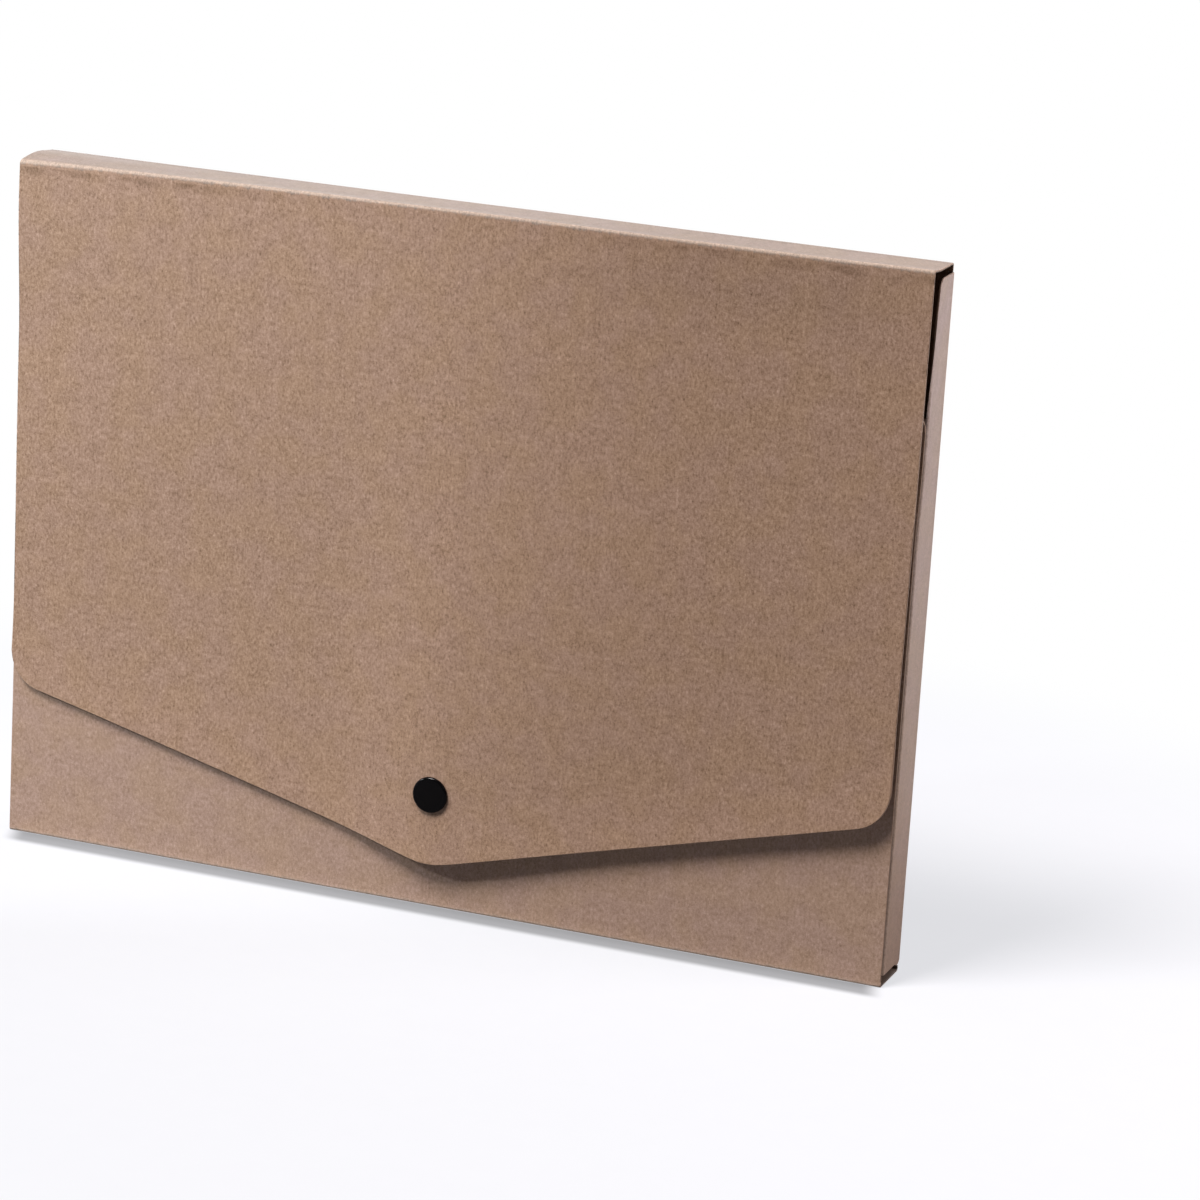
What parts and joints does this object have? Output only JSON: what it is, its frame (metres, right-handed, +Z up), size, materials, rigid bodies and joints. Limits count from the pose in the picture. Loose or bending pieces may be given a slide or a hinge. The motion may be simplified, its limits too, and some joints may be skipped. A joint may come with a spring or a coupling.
{
  "type": "snap envelope folder",
  "caption": "Slim folded kraft board document case with a full-width envelope flap on a creased top spine, closed by a black press snap.",
  "frame": {"origin": "on the surface that the closed folder stands on, under the middle of its overall box", "axes": "+Z up, +X along the width to the right as seen from the flap's side, -Y out of the flap"},
  "size_m": [0.33, 0.0264, 0.245],
  "materials": {
    "kraft_board": "matt recycled kraft board with short fibres, brown all through",
    "snap_black": "glossy black moulded plastic"
  },
  "bodies": {
    "pocket": {"back_panel": "kraft_board", "bottom_spine": "kraft_board", "front_panel": "kraft_board", "left_side_wall": "kraft_board", "right_side_wall": "kraft_board", "left_glue_tab": "kraft_board", "right_glue_tab": "kraft_board", "snap_stud": "snap_black", "snap_back_cap": "snap_black"},
    "spine": {"top_spine": "kraft_board"},
    "flap": {"closure_flap": "kraft_board", "snap_cap": "snap_black", "snap_socket": "snap_black"}
  },
  "joints": [
    {"name": "spine_crease", "type": "hinge", "parent": "pocket", "child": "spine", "pos_m": [0, 0.01325, 0.245], "axis": [-1, 0, 0], "range_deg": [0, 175]},
    {"name": "flap_crease", "type": "hinge", "parent": "spine", "child": "flap", "pos_m": [0, -0.00825, 0.245], "axis": [-1, 0, 0], "range_deg": [0, 175]}
  ]
}
